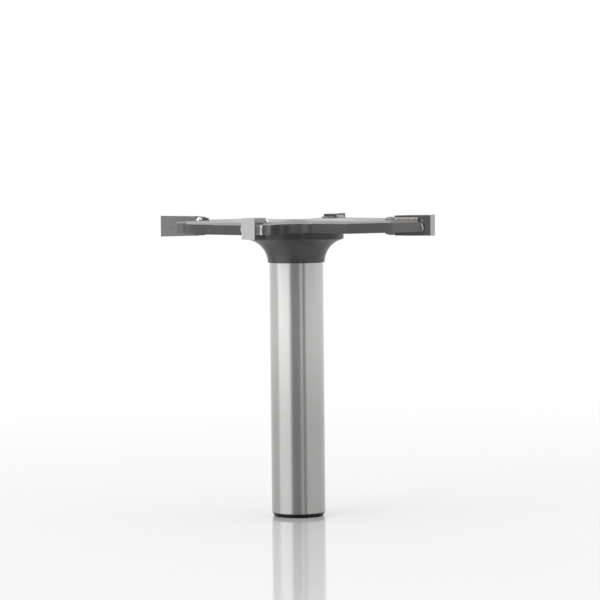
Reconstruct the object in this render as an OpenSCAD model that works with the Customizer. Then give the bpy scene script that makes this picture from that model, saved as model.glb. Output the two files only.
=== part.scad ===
// Slot cutter on a round shank, with four brazed carbide tips.
// The origin is the centre of the shank's end face, +Z points to the cutting head.
// Each tooth is drawn in its own frame: x runs out along the radius, y runs in the
// direction of cut, and the rake face of the tip lies in the plane y = 0.

/* [Shank] */
// Diameter of the ground shank
shank_d = 8; // [6:0.1:12]
// Length of the shank up to the neck
shank_l = 37.9; // [25:0.1:60]
// Width of the end chamfer, across the radius
end_chamfer_w = 0.35; // [0.1:0.05:0.8]
// Height of the end chamfer, along the shank
end_chamfer_h = 0.6; // [0.1:0.05:1.2]

/* [Neck] */
// Step out from the shank to the foot of the neck
neck_step = 0.25; // [0.05:0.05:0.8]
// Radius of the hollow flare of the neck
neck_flare_r = 3.5; // [2:0.1:6]
// Height left off the flare where it meets the rim of the boss
flare_cut = 0.06; // [0.02:0.02:0.2]
// Height of the boss between the neck and the plate
boss_h = 1.1; // [0.4:0.1:3]
// Easing of the lower rim of the boss
boss_ease = 0.1; // [0.05:0.05:0.3]

/* [Plate] */
// Diameter of the plate between the teeth
plate_d = 35.6; // [33:0.2:37]
// Thickness of the plate
plate_t = 1.75; // [1.2:0.05:2.4]
// Chamfer along the upper rim of the plate
edge_chamfer = 0.3; // [0.1:0.05:0.5]
// Diameter of the centre countersink on top
centre_d = 3.15; // [2:0.05:4]
// Diameter of the pilot hole below the countersink
pilot_d = 1; // [0.6:0.1:1.6]
// Depth of the pilot hole below the countersink
pilot_depth = 1.2; // [0.5:0.1:3]

/* [Gullets] */
// Thickness of the steel lip in front of each tip
lip_t = 1.42; // [0.8:0.02:2.5]
// Length of the lip past the rim of the plate
lip_reach = 0.6; // [0.3:0.05:1.2]
// Distance from the axis to the bottom of a gullet
gullet_root = 8.2; // [7.8:0.1:11]
// Radius of the round bottom of a gullet
gullet_r = 2; // [1:0.1:3]
// Angle of a gullet between its lip and its back wall
gullet_angle = 55; // [40:1:62]

/* [Carbide tips] */
// Cutting diameter
cut_d = 42.5; // [41:0.5:46]
// Width of the slot that the tips cut
tip_h = 3.15; // [2.8:0.05:4]
// Thickness of a tip, front to back
tip_t = 2; // [1.4:0.1:2.6]
// Length of a tip along the radius
tip_l = 5.6; // [4.5:0.1:6.5]
// Height of a tip above the plate
tip_rise = 0.75; // [0.5:0.05:1]
// Angle of the first tip around the axis, in degrees
first_tip_angle = 254; // [0:1:359]
// Relief behind the outer cutting edge, in degrees
end_relief = 6; // [3:0.5:12]
// Relief behind the upper and lower cutting edges, in degrees
side_relief = 2; // [0.5:0.5:4]
// Fall of the upper and lower cutting edges towards the axis, in degrees
dish = 1.1; // [0.2:0.1:2]

/* [Tip seats] */
// Length of tip that stands out past the steel behind it
tip_overhang = 1.3; // [0.8:0.05:2]
// Angle behind a tip over which its steel back runs out to the plate
back_span = 26.5; // [20:0.5:32]

/* [Braze] */
// Thickness of the braze film between a tip and its seat
braze_film = 0.1; // [0.05:0.01:0.2]
// Length of the braze bead at the inner end of a tip
bead_l = 1.8; // [1:0.05:2.2]
// Height of the braze bead above the plate
bead_h = 0.6; // [0.3:0.05:0.7]
// Height of the braze bead below the plate
drip_h = 0.5; // [0.2:0.05:0.55]
// Height of the braze fillet on the plate behind a tip
back_fillet_h = 0.45; // [0.2:0.05:0.55]
// Width of that fillet
back_fillet_w = 0.4; // [0.2:0.05:0.6]
// Radius of the braze fillet between a tip and the lip
lip_fillet = 0.45; // [0.2:0.05:0.8]
// Radius of the braze run on the seam behind a tip
seam_r = 0.25; // [0.1:0.05:0.4]

/* [Hidden] */
$fn = 96;

tip_pitch = 90;
countersink_angle = 60;
// Extra reach of a cutting shape past the face that it cuts
over = 0.5;

shank_r = shank_d / 2;
neck_foot_r = shank_r + neck_step;
flare_axis_r = neck_foot_r + neck_flare_r;
neck_h = neck_flare_r - flare_cut;
boss_r = flare_axis_r - sqrt(neck_flare_r * neck_flare_r - neck_h * neck_h);
boss_bottom = shank_l + neck_h;
plate_bottom = boss_bottom + boss_h;
plate_top = plate_bottom + plate_t;
plate_r = plate_d / 2;
lip_r = plate_r + lip_reach;
// The walls are broken a little wider than the rim, and the round bottoms of the gullets wider still
wall_break = 1.2 * edge_chamfer;
root_break = 1.4 * edge_chamfer;

cut_r = cut_d / 2;
tip_top = plate_top + tip_rise;
tip_bottom = tip_top - tip_h;
tip_inner = cut_r - tip_l;
tip_dish = tip_l * tan(dish);
tip_side_fall = tip_t * tan(side_relief);
tip_end_fall = tip_t * tan(end_relief);

seat_back = -tip_t - braze_film;
seat_inner = tip_inner - braze_film;
back_tip = [cut_r - tip_overhang, seat_back];
back_rim = plate_r * [cos(back_span), -sin(back_span)];
back_run = back_tip - back_rim;
back_dir = back_run / norm(back_run);
back_turn = atan2(back_run[1], back_run[0]);
// Ends of the line of a steel back, inside the seat and inside the plate
back_front = back_tip + over * back_dir;
back_heel = back_rim - (back_rim * back_dir) * back_dir;
back_l = norm(back_front - back_heel);

// The walls of a gullet cross its round bottom a little inside its edge
gullet_side = 0.97 * gullet_r;
gullet_centre = [gullet_root + gullet_r, lip_t + gullet_side];
gullet_wall = [cos(gullet_angle), sin(gullet_angle)];
gullet_foot = gullet_centre + gullet_side * [-sin(gullet_angle), cos(gullet_angle)];

bead_half = bead_l * 2 / 3;
bead_centre = tip_inner - bead_l / 3;
back_fillet_l = back_tip[0] - tip_inner - back_fillet_w / back_dir[0];

module at_tooth(index) {
    rotate([0, 0, first_tip_angle + index * tip_pitch]) children();
}

// Half section of the turned piece: shank, flared neck, boss and round plate
module turned_section() {
    difference() {
        polygon([
            [0, 0],
            [shank_r - end_chamfer_w, 0],
            [shank_r, end_chamfer_h],
            [shank_r, shank_l],
            [boss_r, shank_l],
            [boss_r, plate_bottom],
            [plate_r, plate_bottom],
            [plate_r, plate_top - edge_chamfer],
            [plate_r - edge_chamfer, plate_top],
            [0, plate_top]
        ]);
        translate([flare_axis_r, shank_l]) circle(neck_flare_r);
        translate([boss_r, boss_bottom]) polygon([
            [-boss_ease - over, -over],
            [over, -over],
            [over, boss_ease + over]
        ]);
    }
}

// Plan of the steel back behind a tip, from inside the seat to inside the plate
module back_plan() {
    polygon([
        [seat_inner, back_front[1]],
        back_front,
        back_heel,
        [seat_inner * cos(back_span), -seat_inner * sin(back_span)]
    ]);
}

// Plan of the cut for a gullet: a V with a round bottom
module gullet_plan() {
    translate(gullet_centre) circle(gullet_r);
    polygon([
        [gullet_centre[0], lip_t],
        [cut_r, lip_t],
        gullet_foot + cut_r * gullet_wall,
        gullet_foot
    ]);
}

// Plan of the slot that takes a tip and its braze film
module seat_plan() {
    translate([seat_inner, seat_back]) square([tip_l + braze_film + over, -seat_back]);
}

// Plan of a tip, with the relief behind its outer edge
module tip_plan() {
    polygon([
        [tip_inner, 0],
        [cut_r, 0],
        [cut_r - tip_end_fall, -tip_t],
        [tip_inner, -tip_t]
    ]);
}

// Cut that chamfers the upper edge of a wall along x, with the steel on its +y side
module wall_chamfer(wall_l) {
    translate([0, 0, plate_top]) rotate([90, 0, 90]) linear_extrude(wall_l) polygon([
        [-over, -wall_break - over],
        [wall_break + over, over],
        [-over, over]
    ]);
}

module gullet_cut() {
    translate([0, 0, plate_bottom - over]) linear_extrude(plate_t + 2 * over) gullet_plan();
    translate([cut_r, lip_t, 0]) rotate([0, 0, 180]) wall_chamfer(cut_r - gullet_centre[0]);
    translate(gullet_foot) rotate([0, 0, gullet_angle]) wall_chamfer(cut_r);
    translate([gullet_centre[0], gullet_centre[1], plate_top - root_break - over])
        cylinder(r1 = gullet_r - over, r2 = gullet_r + root_break + over, h = root_break + 2 * over);
}

module seat_cut() {
    translate([0, 0, tip_bottom - over]) linear_extrude(tip_h + 2 * over) seat_plan();
}

// Steel behind a tip, as thick as the plate
module steel_back() {
    difference() {
        translate([0, 0, plate_bottom]) linear_extrude(plate_t) back_plan();
        translate(back_heel - over * back_dir) rotate([0, 0, back_turn]) wall_chamfer(back_l + 2 * over);
    }
}

// Steel in front of a tip, from inside the plate out past the rim, before its sides are cut
module steel_lip() {
    lip_root = plate_r - lip_t;
    difference() {
        translate([lip_root, -over, plate_bottom]) cube([lip_r - lip_root, lip_t + 2 * over, plate_t]);
        translate([lip_r, -2 * over, 0]) rotate([0, 0, 90]) wall_chamfer(lip_t + 4 * over);
    }
}

module centre_hole() {
    cone_h = (centre_d - pilot_d) / 2 / tan(countersink_angle / 2);
    translate([0, 0, plate_top - cone_h]) cylinder(d1 = pilot_d, d2 = centre_d, h = cone_h);
    translate([0, 0, plate_top - cone_h - pilot_depth]) cylinder(d = pilot_d, h = cone_h + pilot_depth);
}

module tool_body() {
    color("dimgray") difference() {
        union() {
            rotate_extrude() turned_section();
            for (index = [0 : 3]) at_tooth(index) {
                steel_back();
                steel_lip();
            }
        }
        for (index = [0 : 3]) at_tooth(index) {
            gullet_cut();
            seat_cut();
        }
        centre_hole();
    }
}

// A tip is what the plan, the rake face and the end view have in common
module carbide_tip(index) {
    color("darkgray") at_tooth(index) intersection() {
        translate([0, 0, tip_bottom]) linear_extrude(tip_h) tip_plan();
        rotate([90, 0, 0]) linear_extrude(tip_t) polygon([
            [tip_inner, tip_bottom + tip_dish],
            [cut_r, tip_bottom],
            [cut_r, tip_top],
            [tip_inner, tip_top - tip_dish]
        ]);
        translate([tip_inner, 0, 0]) rotate([90, 0, 90]) linear_extrude(tip_l) polygon([
            [0, tip_bottom],
            [0, tip_top],
            [-tip_t, tip_top - tip_side_fall],
            [-tip_t, tip_bottom + tip_side_fall]
        ]);
    }
}

module braze_film_plan() {
    difference() {
        translate([seat_inner, seat_back]) square([back_tip[0] - seat_inner, -seat_back]);
        tip_plan();
    }
}

module lip_fillet_plan() {
    difference() {
        translate([lip_r, 0]) square(lip_fillet);
        translate([lip_r + lip_fillet, lip_fillet]) circle(lip_fillet);
    }
}

module seam_plan() {
    difference() {
        translate(back_tip) circle(seam_r);
        difference() {
            back_plan();
            seat_plan();
        }
        tip_plan();
    }
}

// Cap of a ball that stands on the level z = 0, cut off flat where it meets the tip
module bead(cap_h) {
    ball_r = (bead_half * bead_half + cap_h * cap_h) / (2 * cap_h);
    intersection() {
        translate([bead_centre, -tip_t / 2, cap_h - ball_r]) sphere(ball_r);
        translate([tip_inner - 2 * bead_l, -2 * tip_t, 0]) cube([2 * bead_l, 3 * tip_t, cap_h + over]);
    }
}

// Fillet in the corner between the plate and the back of a tip
module back_fillet() {
    translate([tip_inner, 0, plate_top]) rotate([90, 0, 90]) linear_extrude(back_fillet_l) polygon([
        [-tip_t, 0],
        [-tip_t, back_fillet_h],
        [-tip_t - back_fillet_w, 0]
    ]);
}

module braze(index) {
    color("gainsboro") at_tooth(index) {
        translate([0, 0, plate_bottom]) linear_extrude(plate_t) braze_film_plan();
        translate([0, 0, plate_top]) bead(bead_h);
        translate([0, 0, plate_bottom]) mirror([0, 0, 1]) bead(drip_h);
        back_fillet();
        translate([0, 0, plate_bottom]) linear_extrude(plate_t - wall_break) {
            lip_fillet_plan();
            seam_plan();
        }
    }
}

tool_body();
for (index = [0 : 3]) {
    carbide_tip(index);
    braze(index);
}
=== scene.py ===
"""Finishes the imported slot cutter: ground and blackened steel, carbide tips, braze and a white studio."""
import math

import bmesh
import bpy
from mathutils import Matrix, Vector, noise


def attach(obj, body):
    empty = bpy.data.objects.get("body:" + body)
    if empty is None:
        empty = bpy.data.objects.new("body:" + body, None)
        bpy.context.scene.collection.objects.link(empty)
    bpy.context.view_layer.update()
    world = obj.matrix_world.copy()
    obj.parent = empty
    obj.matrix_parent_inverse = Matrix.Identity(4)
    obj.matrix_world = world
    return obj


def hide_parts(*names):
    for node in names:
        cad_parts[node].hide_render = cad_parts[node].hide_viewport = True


bl_info = {
    "name": "Slot Cutter Finish",
    "version": (1, 0, 0),
    "blender": (4, 5, 0),
    "location": "3D View > Sidebar > Slot Cutter",
    "description": "Gives a brazed slot cutter its ground, blackened and soldered surfaces in a white studio",
    "category": "Object",
}

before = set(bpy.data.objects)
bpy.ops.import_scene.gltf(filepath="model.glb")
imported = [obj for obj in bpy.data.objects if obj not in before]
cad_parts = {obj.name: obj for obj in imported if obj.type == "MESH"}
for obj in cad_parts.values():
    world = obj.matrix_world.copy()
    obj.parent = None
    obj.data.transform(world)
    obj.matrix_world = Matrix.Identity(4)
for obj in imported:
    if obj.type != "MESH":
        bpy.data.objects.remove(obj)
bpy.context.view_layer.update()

MM = 0.001
# Points closer than this count as one place or one level
SAME_LEVEL = 0.001 * MM
TEETH = 4
FIRST_TOOTH_ANGLE = 254.0
TOOTH_PITCH = 90.0

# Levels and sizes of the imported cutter, in millimetres
SHANK_LENGTH = 37.9
END_CHAMFER_HEIGHT = 0.6
PLATE_BOTTOM = 42.44
PLATE_TOP = 44.19
LIP_END = 18.4
WALL_BREAK = 0.36
TIP_INNER = 15.65
TIP_THICKNESS = 2.0
FILM = 0.1
BACK_TIP = (19.95, -2.1)
BACK_DIRECTION = (-0.567, -0.824)
# Turn from a rake face ahead to the end of its gullet, in degrees
GULLET_TURN = 41.4
# How far the bead above the plate is filled and dulled by flux at each tooth, since no two are alike
BEAD_FILL = (0.9, 0.75, 0.5, 1.0)
BEAD_FLUX = (0.9, 0.3, 0.7, 1.0)
# How far the beads below the plate are dulled
DRIP_FLUX = 1.0
# Smooth toe of the bead in front of the tip: where it starts, its length, reach and height, in millimetres
TOE_START = TIP_INNER - 1.0
TOE_LENGTH = 0.95
TOE_REACH = 0.3
TOE_HEIGHT = 0.62

# Places where the finish of the body or the solder changes or where shade is painted on, in millimetres, and
# in degrees ahead of a rake
LIP_TURN = 6.0
LIP_START = 17.2
STAIN_START = 16.7
STAIN_DEPTH = 0.17
# Distance towards the camera's side past which the lip walls get painted shade
LIP_SHADE_FRONT = -9.5
HEAT_LENGTH = 7.4
HEAT_START = 13.5
HEAT_DRIFT = 1.6
HEAT_SIDE = 9.0
HOLE_RIM = 1.56
HOLE_FLOOR = 40.05
# Level below which the centre hole has its full painted shade, fading out towards the plate top
HOLE_SHADOW = 42.6
SEAM_START = 19.55
# Upward share of a face's direction from which it counts as level, as part of the top, or not as upright
LEVEL_SLOPE = 0.925
TOP_SLOPE = 0.56
UPRIGHT_SLOPE = 0.45

# Studio, in metres, and in degrees to the right of the camera's side
FLOOR_RADIUS = 3.0
FRONT_CARD = (-26.0, 15.0)
SIDE_CARD = (24.0, 37.0)
CARD_LEVELS = (-0.3, 0.7)
CARD_DISTANCE = 0.75
SOFTBOX_ANGLE = -60.0
SOFTBOX_DISTANCE = 0.8
SOFTBOX_HEIGHT = 0.32
SOFTBOX_SIZE = (0.9, 0.6)
SOFTBOX_AIM = 0.03
SENSOR_WIDTH = 36.0
WHITE = (1.0, 1.0, 1.0, 1.0)


def tooth_angle(index):
    """Angle of a tooth around the axis, in radians."""
    return math.radians(FIRST_TOOTH_ANGLE + TOOTH_PITCH * index)


class NodeDesk:
    """Short calls that add and wire the nodes of one material or world."""

    def __init__(self, tree):
        self.tree = tree
        self.tree.nodes.clear()

    def add(self, kind, inputs=None, **settings):
        node = self.tree.nodes.new(kind)
        for name, value in settings.items():
            setattr(node, name, value)
        for key, value in (inputs or {}).items():
            self.feed(node.inputs[key], value)
        return node

    def feed(self, socket, value):
        if isinstance(value, bpy.types.NodeSocket):
            self.tree.links.new(value, socket)
        else:
            socket.default_value = value

    def math(self, operation, first, second=0.0, third=0.0):
        node = self.add("ShaderNodeMath", {0: first, 1: second, 2: third}, operation=operation)
        return node.outputs[0]

    def product(self, first, *others):
        result = first
        for other in others:
            result = self.math("MULTIPLY", result, other)
        return result

    def invert(self, value):
        return self.math("SUBTRACT", 1.0, value)

    def rise(self, value, low, high):
        """0 up to low, 1 from high on, smooth between them."""
        sockets = {"Value": value, "From Min": low, "From Max": high}
        node = self.add("ShaderNodeMapRange", sockets, interpolation_type="SMOOTHSTEP")
        return node.outputs["Result"]

    def past(self, value, middle, softness):
        """0 below a middle value and 1 above it, blurred by the softness on both sides."""
        return self.rise(value, middle - softness, middle + softness)

    def spread(self, value, low, high):
        """Carries a value of 0 to 1 over to the range from low to high."""
        node = self.add("ShaderNodeMapRange", {"Value": value, "To Min": low, "To Max": high})
        return node.outputs["Result"]

    def mix_colour(self, mask, first, second):
        node = self.add("ShaderNodeMix", {0: mask, 6: first, 7: second}, data_type="RGBA")
        return node.outputs[2]

    def mix_value(self, mask, first, second):
        node = self.add("ShaderNodeMix", {0: mask, 2: first, 3: second}, data_type="FLOAT")
        return node.outputs[0]

    def shade(self, colour, value):
        """Multiplies a colour by a value."""
        plain = tuple(colour)[:3] if isinstance(colour, tuple) else colour
        node = self.add("ShaderNodeVectorMath", {0: plain, "Scale": value}, operation="SCALE")
        return node.outputs[0]

    def split(self, vector):
        return self.add("ShaderNodeSeparateXYZ", {0: vector}).outputs

    def grain(self, vector, stretch, detail=2.0, roughness=0.5):
        """Noise of 0 to 1, with its cells counted per metre along x, y and z."""
        placed = self.add("ShaderNodeMapping", {"Vector": vector, "Scale": stretch})
        sockets = {"Vector": placed.outputs[0], "Scale": 1.0, "Detail": detail, "Roughness": roughness}
        return self.add("ShaderNodeTexNoise", sockets).outputs["Fac"]

    def bump(self, height, depth, strength=1.0, normal=None):
        sockets = {"Height": height, "Distance": depth, "Strength": strength}
        if normal:
            sockets["Normal"] = normal
        return self.add("ShaderNodeBump", sockets).outputs[0]

    def surface(self, shader):
        self.add("ShaderNodeOutputMaterial", {"Surface": shader})


def new_material(name):
    """Empty material and the desk that wires it."""
    material = bpy.data.materials.new(name)
    material.use_nodes = True
    return material, NodeDesk(material.node_tree)


def rgba(colour):
    """Colour with a full alpha, as the sockets want it."""
    return (colour[0], colour[1], colour[2], 1.0)


def put_on(obj, material):
    """Gives an object one material in place of what it came with."""
    obj.data.materials.clear()
    obj.data.materials.append(material)


def ring_coordinates(desk):
    """Position, radius about the z axis, height, slope and the turn ahead of the last rake face."""
    position = desk.add("ShaderNodeTexCoord").outputs["Object"]
    parts = desk.split(position)
    square = desk.math("ADD", desk.product(parts[0], parts[0]), desk.product(parts[1], parts[1]))
    radius = desk.math("SQRT", square)
    slope = desk.split(desk.add("ShaderNodeNewGeometry").outputs["True Normal"])[2]
    turn = desk.math("SUBTRACT", desk.math("ARCTAN2", parts[1], parts[0]), tooth_angle(0))
    ahead = desk.math("FLOORED_MODULO", turn, math.radians(TOOTH_PITCH))
    return position, radius, parts[2], slope, ahead


def body_places(desk):
    """Masks of 0 to 1 for the places of the body that differ in finish, and for the painted shade on the
    lower shank, on the lip walls of the front tooth and down in the centre hole.
    """
    position, radius, height, slope, ahead = ring_coordinates(desk)
    to_right, to_back = desk.split(position)[:2]
    edge = 0.02 * MM
    degree = math.radians(1.0)
    chamfer_end = END_CHAMFER_HEIGHT * MM
    neck_start = SHANK_LENGTH * MM
    above_chamfer = desk.past(height, chamfer_end, edge)
    below_neck = desk.invert(desk.rise(height, neck_start - 2 * edge, neck_start - edge))
    foot = desk.invert(desk.rise(height, chamfer_end + edge, chamfer_end + 3 * edge))
    facing_down = desk.past(desk.math("MULTIPLY", slope, -1.0), LEVEL_SLOPE, 0.025)
    on_head = desk.rise(height, PLATE_BOTTOM * MM, (PLATE_TOP - WALL_BREAK) * MM - 2 * edge)
    on_plate = desk.past(height, PLATE_BOTTOM * MM, edge)
    upright = desk.invert(desk.past(desk.math("ABSOLUTE", slope), UPRIGHT_SLOPE, 0.05))
    wall = desk.product(upright, on_plate)
    past_gullet = desk.rise(ahead, (GULLET_TURN - 0.4) * degree, GULLET_TURN * degree)
    near_rake = desk.invert(desk.past(ahead, LIP_TURN * degree, 0.5 * degree))
    lip_edge = desk.past(height, (PLATE_TOP - STAIN_DEPTH) * MM, 0.03 * MM)
    on_chamfer = desk.invert(desk.past(slope, LEVEL_SLOPE, 0.025))
    past_stain = desk.past(radius, STAIN_START * MM, 0.7 * MM)
    drift = desk.grain(position, (420.0, 420.0, 420.0), 3.0, 0.6)
    drift = desk.spread(drift, -HEAT_DRIFT * MM, HEAT_DRIFT * MM)
    behind = desk.product(desk.math("SUBTRACT", TOOTH_PITCH * degree, ahead), radius)
    near_tip = desk.invert(desk.past(desk.math("ADD", behind, drift), HEAT_LENGTH * MM, 1.0 * MM))
    far_out = desk.past(desk.math("ADD", radius, drift), HEAT_START * MM, 1.1 * MM)
    by_side = desk.spread(desk.past(to_right, HEAT_SIDE * MM, 3.0 * MM), 0.25, 1.0)
    inside_rim = desk.invert(desk.past(radius, HOLE_RIM * MM, 0.04 * MM))
    return {
        "shank": desk.product(above_chamfer, below_neck),
        "lower_shank_shade": desk.invert(desk.rise(height, 0.3 * neck_start, 0.8 * neck_start)),
        "foot": foot,
        "end_face": desk.product(facing_down, foot),
        "top": desk.product(desk.past(slope, TOP_SLOPE, 0.04), on_head),
        "gullet": desk.product(wall, desk.invert(past_gullet)),
        "lip": desk.product(wall, near_rake, desk.past(radius, LIP_START * MM, 0.4 * MM)),
        "lip_end": desk.product(wall, near_rake, desk.past(radius, (LIP_END - 0.055) * MM, 0.025 * MM)),
        "front_lip_shade": desk.product(wall, near_rake, desk.invert(desk.past(to_back, LIP_SHADE_FRONT * MM, 1.5 * MM))),
        "stained": desk.product(near_rake, lip_edge, on_chamfer, past_stain),
        "heated": desk.product(near_tip, far_out, by_side),
        "hole": desk.product(inside_rim, desk.past(height, HOLE_FLOOR * MM, 0.05 * MM)),
        "hole_shade": desk.invert(desk.rise(height, HOLE_SHADOW * MM, PLATE_TOP * MM)),
    }


def body_grains(desk):
    """Fine textures of the body: clouds, grind lines round the shank and over the top, turning and scale."""
    position = desk.add("ShaderNodeTexCoord").outputs["Object"]
    return {
        "cloud": desk.grain(position, (260.0, 260.0, 260.0), 4.0, 0.6),
        "grind_round": desk.grain(position, (160.0, 160.0, 16000.0), 2.0, 0.55),
        "grind_flat": desk.grain(position, (90.0, 9000.0, 90.0), 3.0, 0.6),
        "turning": desk.grain(position, (120.0, 120.0, 9000.0), 2.0, 0.6),
        "scale": desk.grain(position, (5200.0, 5200.0, 5200.0), 3.0, 0.65),
    }


def black_colour(desk, finish, places, grains):
    """Colour of the neck, the boss and the walls, with their milled and heated places and painted shade on
    the lip walls of the front tooth.
    """
    milled = desk.mix_colour(places["lip"], rgba(finish.gullet_colour), rgba(finish.lip_colour))
    # painted shade: the lip walls on the camera's side are darkened to a quarter, as if in shadow
    milled = desk.shade(milled, desk.spread(places["front_lip_shade"], 1.0, 0.25))
    milled = desk.mix_colour(places["lip_end"], milled, rgba(finish.lip_end_colour))
    black = desk.shade(rgba(finish.black_colour), desk.spread(grains["cloud"], 0.8, 1.2))
    black = desk.mix_colour(places["gullet"], black, milled)
    black = desk.shade(black, desk.spread(places["heated"], 1.0, 1.45))
    black = desk.shade(black, desk.spread(grains["scale"], 0.86, 1.14))
    foot_black = desk.shade(rgba(finish.foot_colour), desk.spread(grains["cloud"], 0.8, 1.2))
    return desk.mix_colour(places["foot"], black, foot_black)


def top_colour(desk, finish, places, grains):
    """Colour of the ground top, tarnished behind the tips and stained on the lips' chamfers."""
    steel = desk.shade(rgba(finish.top_colour), desk.spread(grains["grind_flat"], 0.9, 1.1))
    steel = desk.shade(steel, desk.spread(grains["cloud"], 0.92, 1.08))
    tarnished = desk.shade(rgba(finish.heated_colour), desk.spread(grains["scale"], 0.8, 1.2))
    steel = desk.mix_colour(places["heated"], steel, tarnished)
    return desk.mix_colour(places["stained"], steel, rgba(finish.lip_colour))


def body_colour(desk, finish, places, grains):
    """Colour of the whole body, laid from the blackened steel to the centre hole, with painted shade on the
    lower shank, the front lip walls and down in the hole.
    """
    ground = desk.shade(rgba(finish.ground_colour), desk.spread(grains["grind_round"], 0.95, 1.05))
    # painted shade: the ground shank is darkened towards its foot, in place of the darker reflections low
    # down
    ground = desk.shade(ground, desk.spread(places["lower_shank_shade"], 1.0, 0.75))
    # painted shade: the centre hole's steel darkens with depth, in place of the shade in the recess
    hole_steel = desk.shade(rgba(finish.hole_colour), desk.spread(places["hole_shade"], 1.0, 0.12))
    colour = black_colour(desk, finish, places, grains)
    colour = desk.mix_colour(places["shank"], colour, ground)
    colour = desk.mix_colour(places["top"], colour, top_colour(desk, finish, places, grains))
    colour = desk.mix_colour(places["hole"], colour, hole_steel)
    return desk.mix_colour(places["end_face"], colour, rgba(finish.hole_colour))


def body_roughness(desk, finish, places, grains):
    """Roughness of the whole body, with a little of each texture in it."""
    ground_rough = finish.ground_roughness
    top_rough = finish.top_roughness
    ground = desk.spread(grains["grind_round"], ground_rough - 0.03, ground_rough + 0.03)
    top = desk.spread(grains["grind_flat"], top_rough - 0.05, top_rough + 0.05)
    rough = desk.mix_value(places["gullet"], finish.black_roughness, finish.gullet_roughness)
    rough = desk.mix_value(places["lip"], rough, finish.lip_roughness)
    rough = desk.mix_value(places["lip_end"], rough, finish.gullet_roughness)
    rough = desk.math("ADD", rough, desk.spread(grains["scale"], -0.06, 0.06))
    rough = desk.mix_value(places["shank"], rough, ground)
    return desk.mix_value(places["top"], rough, top)


def body_relief(desk, places, grains):
    """Height of the turning marks, the scale and the grind lines."""
    relief = desk.math("ADD", grains["turning"], desk.product(grains["scale"], 0.6))
    relief = desk.mix_value(places["shank"], relief, desk.product(grains["grind_round"], 0.25))
    return desk.mix_value(places["top"], relief, desk.product(grains["grind_flat"], 0.4))


def body_material(finish):
    """Steel that is ground bright on the shank and the top and blackened everywhere else."""
    material, desk = new_material("cutter_body_steel")
    places = body_places(desk)
    grains = body_grains(desk)
    sockets = {
        "Base Color": body_colour(desk, finish, places, grains),
        "Metallic": 1.0,
        "Roughness": body_roughness(desk, finish, places, grains),
        "Anisotropic": finish.grind_direction,
        "Anisotropic Rotation": 0.25,
        "Normal": desk.bump(body_relief(desk, places, grains), 0.006 * MM, 0.6),
        "Tangent": desk.add("ShaderNodeTangent", direction_type="RADIAL", axis="Z").outputs[0],
    }
    desk.surface(desk.add("ShaderNodeBsdfPrincipled", sockets).outputs[0])
    return material


def body_piece(material):
    """Body that stands for its solid, with the top face opened over the centre hole."""
    walls = bmesh.new()
    walls.from_mesh(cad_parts["tool_body"].data)
    top = [face for face in walls.faces if all(lies_on_top(vert) for vert in face.verts)]
    bmesh.ops.delete(walls, geom=top, context="FACES")
    slivers = [face for face in walls.faces if min(edge.calc_length() for edge in face.edges) < SAME_LEVEL]
    bmesh.ops.delete(walls, geom=slivers, context="FACES")
    cover = top_cover(walls)
    walls.from_mesh(cover)
    bpy.data.meshes.remove(cover)
    return solid_piece("cutter_body", walls, material, "tool_body")


def lies_on_top(vert):
    """Whether a point of the body lies in the plane of the plate's top."""
    return abs(vert.co.z - PLATE_TOP * MM) < SAME_LEVEL


def top_cover(walls):
    """Flat face between the outline of the plate and the rim of the hole, the two open edges of the walls."""
    mesh = walls.copy()
    bmesh.ops.remove_doubles(mesh, verts=mesh.verts, dist=SAME_LEVEL)
    spare = list(mesh.faces)
    rims = [edge for edge in mesh.edges if edge.is_boundary]
    bmesh.ops.triangle_fill(mesh, use_beauty=True, edges=rims, normal=(0.0, 0.0, 1.0))
    bmesh.ops.delete(mesh, geom=spare, context="FACES")
    for face in mesh.faces:
        face.smooth = False
    cover = bpy.data.meshes.new("top_cover")
    mesh.to_mesh(cover)
    mesh.free()
    return cover


def solid_piece(name, mesh, material, node):
    """Object made of a finished mesh that stands for one solid."""
    data = bpy.data.meshes.new(name)
    mesh.to_mesh(data)
    mesh.free()
    piece = bpy.data.objects.new(name, data)
    bpy.context.scene.collection.objects.link(piece)
    put_on(piece, material)
    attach(piece, "root")
    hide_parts(node)
    return piece


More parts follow.
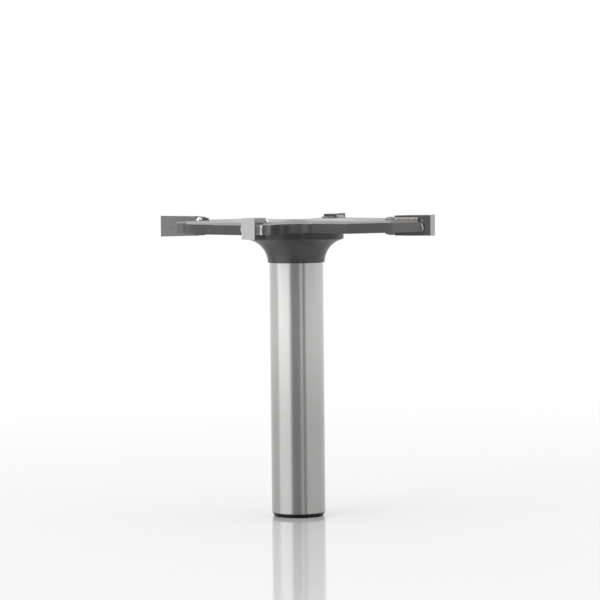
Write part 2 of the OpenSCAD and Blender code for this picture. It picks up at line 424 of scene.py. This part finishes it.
def carbide_material(finish, index):
    """Carbide of one tip: dark on the rake, ground on the edges, dull on the back and the inner end."""
    material, desk = new_material("cutter_carbide_%d" % (index + 1))
    position = desk.add("ShaderNodeTexCoord").outputs["Object"]
    normal = desk.add("ShaderNodeNewGeometry").outputs["True Normal"]
    turn = {"Angle": -tooth_angle(index)}
    turned_place = desk.add("ShaderNodeVectorRotate", {"Vector": position, **turn}, rotation_type="Z_AXIS")
    turned_normal = desk.add("ShaderNodeVectorRotate", {"Vector": normal, **turn}, rotation_type="Z_AXIS")
    local = turned_place.outputs[0]
    facing = turned_normal.outputs[0]
    outward, forward, upward = desk.split(facing)
    rake = desk.rise(forward, 0.7, 0.8)
    flank = desk.rise(desk.math("ABSOLUTE", upward), 0.7, 0.8)
    pressed = desk.invert(desk.rise(desk.math("ADD", outward, forward), -0.6, -0.5))
    grind = desk.grain(local, (1200.0, 1200.0, 22000.0), 2.0, 0.6)
    speck = desk.grain(local, (14000.0, 14000.0, 14000.0), 3.0, 0.7)
    cloud = desk.grain(local, (500.0, 500.0, 500.0), 3.0, 0.5)
    ground = desk.shade(rgba(finish.carbide_colour), desk.spread(grind, 0.9, 1.1))
    skin = desk.shade(rgba(finish.rake_colour), desk.spread(grind, 0.94, 1.06))
    dull = desk.shade(rgba(finish.pressed_colour), desk.spread(speck, 0.8, 1.2))
    colour = desk.mix_colour(pressed, desk.mix_colour(rake, ground, skin), dull)
    colour = desk.shade(colour, desk.spread(cloud, 0.9, 1.1))
    rough = desk.mix_value(rake, desk.spread(grind, 0.26, 0.36), finish.rake_roughness)
    rough = desk.mix_value(flank, rough, finish.flank_roughness)
    rough = desk.mix_value(pressed, rough, desk.spread(speck, 0.42, 0.58))
    relief = desk.mix_value(pressed, desk.product(grind, 0.3), speck)
    lean = tooth_angle(index) + math.pi / 2 + finish.rake_hollow
    hollow = (math.cos(lean), math.sin(lean), 0.0)
    to_world = {"vector_type": "NORMAL", "convert_from": "OBJECT", "convert_to": "WORLD"}
    hollow_normal = desk.add("ShaderNodeVectorTransform", {0: hollow}, **to_world).outputs[0]
    facet = desk.add("ShaderNodeMix", {0: rake, 4: normal, 5: hollow_normal}, data_type="VECTOR").outputs[1]
    sockets = {
        "Base Color": colour,
        "Metallic": 1.0,
        "Roughness": rough,
        "Normal": desk.bump(relief, 0.004 * MM, 0.5, facet),
    }
    desk.surface(desk.add("ShaderNodeBsdfPrincipled", sockets).outputs[0])
    return material


def braze_material(finish, index):
    """Silver solder of one tooth: clean in front, greyed behind the tip, dulled by flux on the beads."""
    material, desk = new_material("cutter_braze_%d" % (index + 1))
    position, radius, height, _, ahead = ring_coordinates(desk)
    lump = desk.grain(position, (1500.0, 1500.0, 1500.0), 4.0, 0.6)
    pore = desk.grain(position, (9000.0, 9000.0, 9000.0), 3.0, 0.6)
    above = desk.past(height, PLATE_BOTTOM * MM, 0.02 * MM)
    in_front = desk.invert(desk.past(ahead, math.radians(9.0), math.radians(1.0)))
    clean = desk.product(in_front, above, desk.past(radius, (TOE_START + 0.025) * MM, 0.075 * MM))
    bead = desk.invert(desk.past(radius, (TIP_INNER - 0.1) * MM, 0.15 * MM))
    dulled = desk.product(bead, desk.mix_value(above, DRIP_FLUX, BEAD_FLUX[index]))
    seam = desk.past(radius, SEAM_START * MM, 0.15 * MM)
    colour = desk.mix_colour(dulled, rgba(finish.greyed_colour), rgba(finish.flux_colour))
    colour = desk.shade(colour, desk.spread(lump, 0.75, 1.25))
    colour = desk.shade(colour, desk.spread(seam, 1.0, 1.3))
    colour = desk.mix_colour(clean, colour, rgba(finish.braze_colour))
    colour = desk.shade(colour, desk.spread(pore, 0.88, 1.12))
    sockets = {
        "Base Color": colour,
        "Metallic": 1.0,
        "Roughness": desk.mix_value(clean, desk.spread(lump, 0.36, 0.5), finish.braze_roughness),
        "Normal": desk.bump(desk.math("ADD", lump, desk.product(pore, 0.4)), 0.012 * MM, 0.6),
    }
    desk.surface(desk.add("ShaderNodeBsdfPrincipled", sockets).outputs[0])
    return material


def extrude_outline(mesh, outline, low, high):
    """Closed prism over an outline in x and y, between two levels, all in millimetres."""
    lower = [mesh.verts.new((x, y, low)) for x, y in outline]
    upper = [mesh.verts.new((x, y, high)) for x, y in outline]
    mesh.faces.new(list(reversed(lower)))
    mesh.faces.new(upper)
    count = len(outline)
    for i in range(count):
        j = (i + 1) % count
        mesh.faces.new((lower[i], lower[j], upper[j], upper[i]))


def add_bead(mesh, finish, seed, level, height):
    """Lumpy dome of solder at the inner end of the tip, on a level, or hung from it if height is negative."""
    rings = 14
    sides = 40
    reach = finish.bead_length / MM * 2 / 3
    centre = Vector((TIP_INNER - reach / 2, -TIP_THICKNESS / 2))
    rows = []
    for ring in range(1, rings + 1):
        share = ring / rings
        row = []
        for side in range(sides):
            angle = 2 * math.pi * side / sides
            edge = Vector((math.cos(angle), math.sin(angle)))
            wobble = noise.noise(Vector((edge.x * 1.3, edge.y * 1.3, seed)))
            place = centre + edge * reach * share * (0.93 + 0.12 * wobble)
            place.x = min(place.x, TIP_INNER)
            lump = noise.fractal(Vector((place.x * 1.6, place.y * 1.6, seed + 7.0)), 0.8, 2.1, 3)
            swell = math.sqrt(max(0.0, 1.0 - share ** 3))
            share_of_height = min(1.0, max(0.0, swell * (0.9 + 0.4 * lump)))
            row.append(mesh.verts.new((place.x, place.y, level + height * share_of_height)))
        rows.append(row)
    crown = mesh.verts.new((centre.x, centre.y, level + height * 0.9))
    base = mesh.verts.new((centre.x, centre.y, level))
    for side in range(sides):
        after = (side + 1) % sides
        mesh.faces.new((crown, rows[0][side], rows[0][after]))
        mesh.faces.new((base, rows[-1][after], rows[-1][side]))
        for ring in range(rings - 1):
            inner = rows[ring]
            outer = rows[ring + 1]
            mesh.faces.new((inner[side], outer[side], outer[after], inner[after]))


def add_toe(mesh, fill):
    """Smooth toe of clean solder where the bead runs down the rake onto the lip."""
    steps = 12
    bends = 6
    level = PLATE_TOP - 0.02
    rows = []
    for step in range(steps + 1):
        share = step / steps
        place = TOE_START + TOE_LENGTH * share
        swell = math.sin(math.pi * (0.15 + 0.7 * share))
        row = [mesh.verts.new((place, -0.02, level))]
        for bend in range(bends + 1):
            angle = math.pi / 2 * bend / bends
            out = TOE_REACH * swell * (0.35 * math.sin(angle) + 0.65 * bend / bends)
            drop = 0.35 * (1 - math.cos(angle)) + 0.65 * bend / bends
            row.append(mesh.verts.new((place, out, level + TOE_HEIGHT * fill * swell * (1 - drop))))
        rows.append(row)
    close_rows(mesh, rows)


def add_lip_fillet(mesh, finish, seed):
    """Hollow fillet of solder in the corner between the tip and the end of the lip."""
    steps = 28
    bends = 7
    low = PLATE_BOTTOM
    high = PLATE_TOP - WALL_BREAK
    rows = []
    for step in range(steps + 1):
        level = low + (high - low) * step / steps
        lump = noise.noise(Vector((seed, 3.0, level * 2.3)))
        size = finish.fillet_size / MM * (0.84 + 0.3 * lump)
        row = [mesh.verts.new((LIP_END - 0.05, -0.02, level))]
        for bend in range(bends + 1):
            angle = math.pi / 2 * bend / bends
            along = LIP_END + size * (1 - math.sin(angle))
            out = size * (1 - math.cos(angle))
            row.append(mesh.verts.new((along - 0.01, out, level)))
        rows.append(row)
    close_rows(mesh, rows)


def add_seam_run(mesh, finish, seed):
    """Wavy run of solder down the seam between the back of the tip and its steel back."""
    steps = 32
    sides = 10
    low = PLATE_BOTTOM + 0.05
    high = PLATE_TOP - WALL_BREAK - 0.02
    along = Vector((BACK_DIRECTION[0], BACK_DIRECTION[1], 0.0))
    out = Vector((-along.y, along.x, 0.0))
    rows = []
    for step in range(steps + 1):
        share = step / steps
        level = low + (high - low) * share
        wave = noise.noise(Vector((seed * 1.7, 1.0, level * 1.9)))
        drift = 0.2 + 0.12 * math.sin(share * 4.0 + seed) + 0.06 * wave
        taper = math.sqrt(max(0.05, math.sin(math.pi * share)))
        girth = finish.seam_size / MM * (0.85 + 0.2 * wave) * taper
        centre = Vector((BACK_TIP[0], BACK_TIP[1], level)) + along * max(0.0, drift)
        row = []
        for side in range(sides):
            angle = 2 * math.pi * side / sides
            row.append(mesh.verts.new(centre + (along * math.cos(angle) + out * math.sin(angle)) * girth))
        rows.append(row)
    close_rows(mesh, rows)


def add_back_fillet(mesh, finish, seed):
    """Fillet of solder on the plate, along the back of the tip."""
    steps = 30
    bends = 5
    back = -TIP_THICKNESS
    rows = []
    for step in range(steps + 1):
        place = TIP_INNER + finish.back_fillet_length / MM * step / steps
        lump = noise.noise(Vector((seed, place * 1.4, 5.0)))
        width = finish.back_fillet_width / MM * (0.85 + 0.25 * lump)
        height = finish.back_fillet_height / MM * (0.9 + 0.2 * lump)
        row = [mesh.verts.new((place, back, PLATE_TOP))]
        for bend in range(bends + 1):
            angle = math.pi / 2 * bend / bends
            drop = 0.5 * (1 - math.cos(angle)) + 0.5 * bend / bends
            out = 0.5 * math.sin(angle) + 0.5 * bend / bends
            row.append(mesh.verts.new((place, back - width * out, PLATE_TOP + height * (1 - drop))))
        rows.append(row)
    close_rows(mesh, rows)


def close_rows(mesh, rows):
    """Joins like rows of points into a closed skin with a face at each end."""
    count = len(rows[0])
    for lower, upper in zip(rows, rows[1:]):
        for i in range(count):
            j = (i + 1) % count
            mesh.faces.new((lower[i], lower[j], upper[j], upper[i]))
    mesh.faces.new(list(reversed(rows[0])))
    mesh.faces.new(rows[-1])


def add_film(mesh):
    """Thin solder left in the seat, behind the tip and at its inner end."""
    inner = TIP_INNER - FILM
    back = BACK_TIP[1]
    outline = [
        (inner, back),
        (BACK_TIP[0], back),
        (BACK_TIP[0], back + FILM),
        (TIP_INNER, back + FILM),
        (TIP_INNER, 0.0),
        (inner, 0.0),
    ]
    extrude_outline(mesh, outline, PLATE_BOTTOM, PLATE_TOP)


def braze_piece(finish, index, material):
    """All the solder of one tooth as one object that stands for its solid."""
    mesh = bmesh.new()
    seed = 11.3 * (index + 1)
    add_film(mesh)
    add_bead(mesh, finish, seed, PLATE_TOP, finish.bead_height / MM * BEAD_FILL[index])
    add_toe(mesh, BEAD_FILL[index])
    add_bead(mesh, finish, seed + 3.0, PLATE_BOTTOM, -finish.drip_height / MM)
    add_lip_fillet(mesh, finish, seed)
    add_back_fillet(mesh, finish, seed)
    add_seam_run(mesh, finish, seed)
    bmesh.ops.recalc_face_normals(mesh, faces=mesh.faces)
    turn = Matrix.Rotation(tooth_angle(index), 4, "Z") @ Matrix.Scale(MM, 4)
    bmesh.ops.transform(mesh, matrix=turn, verts=mesh.verts)
    for face in mesh.faces:
        face.smooth = len(face.verts) < 5
    return solid_piece("solder_%d" % (index + 1), mesh, material, "braze_%d" % (index + 1))


def floor_material(studio):
    """White glossy table top that runs out into the white background."""
    material, desk = new_material("studio_floor")
    position = desk.add("ShaderNodeTexCoord").outputs["Object"]
    parts = desk.split(position)
    square = desk.math("ADD", desk.product(parts[0], parts[0]), desk.product(parts[1], parts[1]))
    distance = desk.math("SQRT", square)
    smudge = desk.grain(position, (14.0, 14.0, 14.0), 3.0, 0.5)
    sockets = {
        "Base Color": desk.shade(rgba(studio.floor_colour), desk.spread(smudge, 0.985, 1.0)),
        "Roughness": desk.spread(smudge, studio.floor_roughness * 0.8, studio.floor_roughness * 1.2),
        "IOR": studio.floor_ior,
    }
    table = desk.add("ShaderNodeBsdfPrincipled", sockets).outputs[0]
    white = desk.add("ShaderNodeEmission", {"Color": WHITE, "Strength": 1.0}).outputs[0]
    paths = desk.add("ShaderNodeLightPath").outputs
    far = desk.rise(distance, studio.floor_fade_start, studio.floor_fade_end)
    seen = desk.product(far, paths["Is Camera Ray"])
    desk.surface(desk.add("ShaderNodeMixShader", {0: seen, 1: table, 2: white}).outputs[0])
    return material


def card_material(name, colour):
    """Dull felt of the cards that darken the reflections."""
    material, desk = new_material(name)
    position = desk.add("ShaderNodeTexCoord").outputs["Object"]
    felt = desk.grain(position, (400.0, 400.0, 400.0), 3.0, 0.6)
    sockets = {"Base Color": desk.shade(rgba(colour), desk.spread(felt, 0.9, 1.1)), "Roughness": 0.9}
    desk.surface(desk.add("ShaderNodeBsdfPrincipled", sockets).outputs[0])
    return material


def around(angle, distance, height):
    """Point round the axis, with the angle in degrees from the camera's side to the right."""
    turn = math.radians(angle)
    return Vector((math.sin(turn) * distance, -math.cos(turn) * distance, height))


def add_card(name, angles, material):
    """Upright card that spans two angles round the axis."""
    low, high = CARD_LEVELS
    points = [around(angle, CARD_DISTANCE, low) for angle in angles]
    points += [around(angle, CARD_DISTANCE, high) for angle in reversed(angles)]
    data = bpy.data.meshes.new(name)
    data.from_pydata([tuple(point) for point in points], [], [(0, 1, 2, 3)])
    card = bpy.data.objects.new(name, data)
    bpy.context.scene.collection.objects.link(card)
    put_on(card, material)
    card.visible_camera = False
    return card


def add_softbox(name, radiance):
    """Rectangular area lamp that looks at the middle of the cutter, set by the brightness of its face."""
    width, height = SOFTBOX_SIZE
    lamp = bpy.data.lights.new(name, "AREA")
    lamp.shape = "RECTANGLE"
    lamp.size = width
    lamp.size_y = height
    lamp.energy = radiance * math.pi * width * height
    lamp_object = bpy.data.objects.new(name, lamp)
    lamp_object.location = around(SOFTBOX_ANGLE, SOFTBOX_DISTANCE, SOFTBOX_HEIGHT)
    aim = Vector((0.0, 0.0, SOFTBOX_AIM)) - lamp_object.location
    lamp_object.rotation_euler = aim.to_track_quat("-Z", "Y").to_euler()
    lamp_object.visible_camera = False
    bpy.context.scene.collection.objects.link(lamp_object)
    return lamp_object


class CutterFinish(bpy.types.PropertyGroup):
    """Colours and roughness of the cutter's surfaces, and the sizes of its solder."""

    ground_colour: bpy.props.FloatVectorProperty(
        name="Ground shank", description="Colour of the ground shank", subtype="COLOR", size=3,
        default=(0.55, 0.545, 0.54), min=0.0, max=1.0)
    ground_roughness: bpy.props.FloatProperty(
        name="Shank roughness", description="Roughness of the ground shank", subtype="FACTOR",
        default=0.33, min=0.0, max=1.0)
    grind_direction: bpy.props.FloatProperty(
        name="Grind lines", description="How far the grind lines stretch the gloss along the axis",
        subtype="FACTOR", default=0.9, min=0.0, max=1.0)
    top_colour: bpy.props.FloatVectorProperty(
        name="Plate top", description="Colour of the ground top and the chamfers", subtype="COLOR", size=3,
        default=(0.4, 0.396, 0.392), min=0.0, max=1.0)
    top_roughness: bpy.props.FloatProperty(
        name="Top roughness", description="Roughness of the ground top", subtype="FACTOR",
        default=0.37, min=0.0, max=1.0)
    hole_colour: bpy.props.FloatVectorProperty(
        name="Centre hole", description="Colour of the centre hole and the turned end face", subtype="COLOR",
        size=3, default=(0.1, 0.1, 0.1), min=0.0, max=1.0)
    black_colour: bpy.props.FloatVectorProperty(
        name="Blackened steel", description="Colour of the neck, the boss and the walls", subtype="COLOR",
        size=3, default=(0.12, 0.117, 0.118), min=0.0, max=1.0)
    black_roughness: bpy.props.FloatProperty(
        name="Black roughness", description="Roughness of the blackened steel", subtype="FACTOR",
        default=0.46, min=0.0, max=1.0)
    foot_colour: bpy.props.FloatVectorProperty(
        name="Foot chamfer", description="Colour of the chamfer at the end of the shank", subtype="COLOR",
        size=3, default=(0.035, 0.034, 0.036), min=0.0, max=1.0)
    gullet_colour: bpy.props.FloatVectorProperty(
        name="Gullets", description="Colour of the milled walls of the gullets", subtype="COLOR",
        size=3, default=(0.2, 0.196, 0.196), min=0.0, max=1.0)
    gullet_roughness: bpy.props.FloatProperty(
        name="Gullet roughness", description="Roughness of the milled walls of the gullets", subtype="FACTOR",
        default=0.7, min=0.0, max=1.0)
    lip_colour: bpy.props.FloatVectorProperty(
        name="Lips", description="Colour of the walls of the lips", subtype="COLOR",
        size=3, default=(0.25, 0.246, 0.246), min=0.0, max=1.0)
    lip_end_colour: bpy.props.FloatVectorProperty(
        name="Lip ends", description="Colour of the end faces of the lips", subtype="COLOR",
        size=3, default=(0.4, 0.393, 0.393), min=0.0, max=1.0)
    lip_roughness: bpy.props.FloatProperty(
        name="Lip roughness", description="Roughness of the walls of the lips", subtype="FACTOR",
        default=0.6, min=0.0, max=1.0)
    heated_colour: bpy.props.FloatVectorProperty(
        name="Heated steel", description="Colour of the plate top behind the tips, tarnished by the torch",
        subtype="COLOR", size=3, default=(0.24, 0.23, 0.222), min=0.0, max=1.0)
    carbide_colour: bpy.props.FloatVectorProperty(
        name="Ground carbide", description="Colour of the ground faces of the tips", subtype="COLOR",
        size=3, default=(0.36, 0.356, 0.356), min=0.0, max=1.0)
    rake_colour: bpy.props.FloatVectorProperty(
        name="Rake faces", description="Colour of the rake faces of the tips", subtype="COLOR",
        size=3, default=(0.26, 0.257, 0.258), min=0.0, max=1.0)
    rake_roughness: bpy.props.FloatProperty(
        name="Rake roughness", description="Roughness of the rake faces", subtype="FACTOR",
        default=0.24, min=0.0, max=1.0)
    rake_hollow: bpy.props.FloatProperty(
        name="Rake hollow", description="Lean of the hollow grind of the rake faces", subtype="ANGLE",
        default=math.radians(4.0))
    flank_roughness: bpy.props.FloatProperty(
        name="Flank roughness", description="Roughness of the upper and lower faces of the tips",
        subtype="FACTOR", default=0.12, min=0.0, max=1.0)
    pressed_colour: bpy.props.FloatVectorProperty(
        name="Pressed carbide", description="Colour of the backs of the tips", subtype="COLOR",
        size=3, default=(0.125, 0.123, 0.123), min=0.0, max=1.0)
    braze_colour: bpy.props.FloatVectorProperty(
        name="Bright solder", description="Colour of the clean solder", subtype="COLOR",
        size=3, default=(0.86, 0.845, 0.82), min=0.0, max=1.0)
    braze_roughness: bpy.props.FloatProperty(
        name="Solder roughness", description="Roughness of the clean solder", subtype="FACTOR",
        default=0.24, min=0.0, max=1.0)
    greyed_colour: bpy.props.FloatVectorProperty(
        name="Greyed solder", description="Colour of the solder behind the tips", subtype="COLOR",
        size=3, default=(0.38, 0.368, 0.358), min=0.0, max=1.0)
    flux_colour: bpy.props.FloatVectorProperty(
        name="Dulled solder", description="Colour of the beads that the flux has dulled", subtype="COLOR",
        size=3, default=(0.12, 0.117, 0.113), min=0.0, max=1.0)
    bead_length: bpy.props.FloatProperty(
        name="Bead length", description="Length of the bead at the inner end of a tip", unit="LENGTH",
        default=1.8 * MM, min=0.0)
    bead_height: bpy.props.FloatProperty(
        name="Bead height", description="Height of that bead above the plate", unit="LENGTH",
        default=0.6 * MM, min=0.0)
    drip_height: bpy.props.FloatProperty(
        name="Drip height", description="Height of the bead that hangs below the plate", unit="LENGTH",
        default=0.5 * MM, min=0.0)
    back_fillet_length: bpy.props.FloatProperty(
        name="Back fillet length", description="Length of the fillet behind a tip", unit="LENGTH",
        default=3.59 * MM, min=0.0)
    back_fillet_width: bpy.props.FloatProperty(
        name="Back fillet width", description="Width of that fillet on the plate", unit="LENGTH",
        default=0.4 * MM, min=0.0)
    back_fillet_height: bpy.props.FloatProperty(
        name="Back fillet height", description="Height of that fillet on the tip", unit="LENGTH",
        default=0.52 * MM, min=0.0)
    fillet_size: bpy.props.FloatProperty(
        name="Lip fillet", description="Size of the fillet between a tip and the lip", unit="LENGTH",
        default=0.45 * MM, min=0.0)
    seam_size: bpy.props.FloatProperty(
        name="Seam run", description="Size of the run on the seam behind a tip", unit="LENGTH",
        default=0.25 * MM, min=0.0)


class CutterStudio(bpy.types.PropertyGroup):
    """Camera, floor and light of the white studio."""

    camera_distance: bpy.props.FloatProperty(
        name="Camera distance", description="Distance from the axis to the camera", unit="LENGTH",
        default=0.405)
    camera_height: bpy.props.FloatProperty(
        name="Camera height", description="Height of the camera above the floor", unit="LENGTH",
        default=0.0516)
    aim_height: bpy.props.FloatProperty(
        name="Aim height", description="Height of the point in the middle of the picture", unit="LENGTH",
        default=0.03226)
    aim_side: bpy.props.FloatProperty(
        name="Aim side", description="Distance of that point to the right of the axis", unit="LENGTH",
        default=0.0005)
    camera_lens: bpy.props.FloatProperty(
        name="Lens", description="Focal length of the camera, in millimetres", default=163.0)
    camera_roll: bpy.props.FloatProperty(
        name="Roll", description="Turn of the camera about its own line of sight", subtype="ANGLE",
        default=math.radians(-0.57))
    floor_colour: bpy.props.FloatVectorProperty(
        name="Floor", description="Colour of the table top", subtype="COLOR", size=3,
        default=(0.96, 0.96, 0.96), min=0.0, max=1.0)
    floor_roughness: bpy.props.FloatProperty(
        name="Floor roughness", description="Roughness of the table top", subtype="FACTOR",
        default=0.06, min=0.0, max=1.0)
    floor_ior: bpy.props.FloatProperty(
        name="Floor gloss", description="Index of refraction of the table top's lacquer", default=1.55)
    floor_fade_start: bpy.props.FloatProperty(
        name="Fade start", description="Distance at which the floor starts to run into white", unit="LENGTH",
        default=0.05)
    floor_fade_end: bpy.props.FloatProperty(
        name="Fade end", description="Distance from which the floor is plain white", unit="LENGTH",
        default=0.22)
    sky_level: bpy.props.FloatProperty(
        name="Sky level", description="Brightness of the white room as a light", default=0.9)
    softbox_radiance: bpy.props.FloatProperty(
        name="Softbox", description="Brightness of the face of the softbox on the left", default=1.2)
    flag_colour: bpy.props.FloatVectorProperty(
        name="Dark cards", description="Colour of the cards on the camera's side", subtype="COLOR", size=3,
        default=(0.05, 0.05, 0.05), min=0.0, max=1.0)


class CUTTER_OT_finish_body(bpy.types.Operator):
    """Grinds and blackens the steel body"""

    bl_idname = "cutter.finish_body"
    bl_label = "Finish Steel Body"

    def execute(self, context):
        body_piece(body_material(context.scene.cutter_finish))
        return {"FINISHED"}


class CUTTER_OT_finish_tips(bpy.types.Operator):
    """Grinds the four carbide tips"""

    bl_idname = "cutter.finish_tips"
    bl_label = "Finish Carbide Tips"

    def execute(self, context):
        for index in range(TEETH):
            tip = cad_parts["carbide_tip_%d" % (index + 1)]
            put_on(tip, carbide_material(context.scene.cutter_finish, index))
        return {"FINISHED"}


class CUTTER_OT_model_solder(bpy.types.Operator):
    """Models the beads, fillets and runs of solder at the four tips"""

    bl_idname = "cutter.model_solder"
    bl_label = "Model Solder"

    def execute(self, context):
        finish = context.scene.cutter_finish
        for index in range(TEETH):
            braze_piece(finish, index, braze_material(finish, index))
        return {"FINISHED"}


class CUTTER_OT_build_studio(bpy.types.Operator):
    """Builds the white floor, the lights, the dark cards and the camera"""

    bl_idname = "cutter.build_studio"
    bl_label = "Build Studio"

    def execute(self, context):
        studio = context.scene.cutter_studio
        self.add_floor(studio)
        self.light_room(context.scene, studio)
        self.add_camera(context.scene, studio)
        context.scene.view_settings.view_transform = "Standard"
        return {"FINISHED"}

    def add_floor(self, studio):
        mesh = bmesh.new()
        bmesh.ops.create_circle(mesh, cap_ends=True, segments=96, radius=FLOOR_RADIUS)
        data = bpy.data.meshes.new("studio_floor")
        mesh.to_mesh(data)
        mesh.free()
        floor = bpy.data.objects.new("studio_floor", data)
        bpy.context.scene.collection.objects.link(floor)
        put_on(floor, floor_material(studio))

    def light_room(self, scene, studio):
        world = bpy.data.worlds.new("white_room")
        world.use_nodes = True
        desk = NodeDesk(world.node_tree)
        paths = desk.add("ShaderNodeLightPath").outputs
        shown = desk.math("MAXIMUM", paths["Is Camera Ray"], paths["Is Glossy Ray"])
        shown = desk.math("MAXIMUM", shown, paths["Is Transmission Ray"])
        light = desk.add("ShaderNodeBackground", {"Color": WHITE, "Strength": studio.sky_level}).outputs[0]
        backdrop = desk.add("ShaderNodeBackground", {"Color": WHITE, "Strength": 1.0}).outputs[0]
        mixed = desk.add("ShaderNodeMixShader", {0: shown, 1: light, 2: backdrop}).outputs[0]
        desk.add("ShaderNodeOutputWorld", {"Surface": mixed})
        scene.world = world
        flag = card_material("dark_card", studio.flag_colour)
        add_card("front_card", FRONT_CARD, flag)
        add_card("side_card", SIDE_CARD, flag)
        add_softbox("left_softbox", studio.softbox_radiance)

    def add_camera(self, scene, studio):
        data = bpy.data.cameras.new("photo_camera")
        data.lens = studio.camera_lens
        data.sensor_width = SENSOR_WIDTH
        data.clip_start = 0.01
        camera = bpy.data.objects.new("photo_camera", data)
        camera.location = (0.0, -studio.camera_distance, studio.camera_height)
        aim = Vector((studio.aim_side, 0.0, studio.aim_height)) - camera.location
        roll = Matrix.Rotation(studio.camera_roll, 3, "Z")
        camera.rotation_euler = (aim.to_track_quat("-Z", "Y").to_matrix() @ roll).to_euler()
        scene.collection.objects.link(camera)
        scene.camera = camera


class CUTTER_PT_panel(bpy.types.Panel):
    """Lists the steps that finish the cutter"""

    bl_idname = "CUTTER_PT_panel"
    bl_label = "Slot Cutter"
    bl_space_type = "VIEW_3D"
    bl_region_type = "UI"
    bl_category = "Slot Cutter"

    def draw(self, context):
        column = self.layout.column()
        for step in STEPS:
            column.operator(step.bl_idname)
        for group in (context.scene.cutter_finish, context.scene.cutter_studio):
            box = self.layout.box()
            for name in group.__annotations__:
                box.prop(group, name)


STEPS = (
    CUTTER_OT_finish_body,
    CUTTER_OT_finish_tips,
    CUTTER_OT_model_solder,
    CUTTER_OT_build_studio,
)
CLASSES = (CutterFinish, CutterStudio) + STEPS + (CUTTER_PT_panel,)


def register():
    for item in CLASSES:
        bpy.utils.register_class(item)
    bpy.types.Scene.cutter_finish = bpy.props.PointerProperty(type=CutterFinish)
    bpy.types.Scene.cutter_studio = bpy.props.PointerProperty(type=CutterStudio)


def unregister():
    del bpy.types.Scene.cutter_studio
    del bpy.types.Scene.cutter_finish
    for item in reversed(CLASSES):
        bpy.utils.unregister_class(item)


def main():
    register()
    bpy.ops.cutter.finish_body()
    bpy.ops.cutter.finish_tips()
    bpy.ops.cutter.model_solder()
    bpy.ops.cutter.build_studio()
    bpy.context.view_layer.update()


if __name__ == "__main__":
    main()
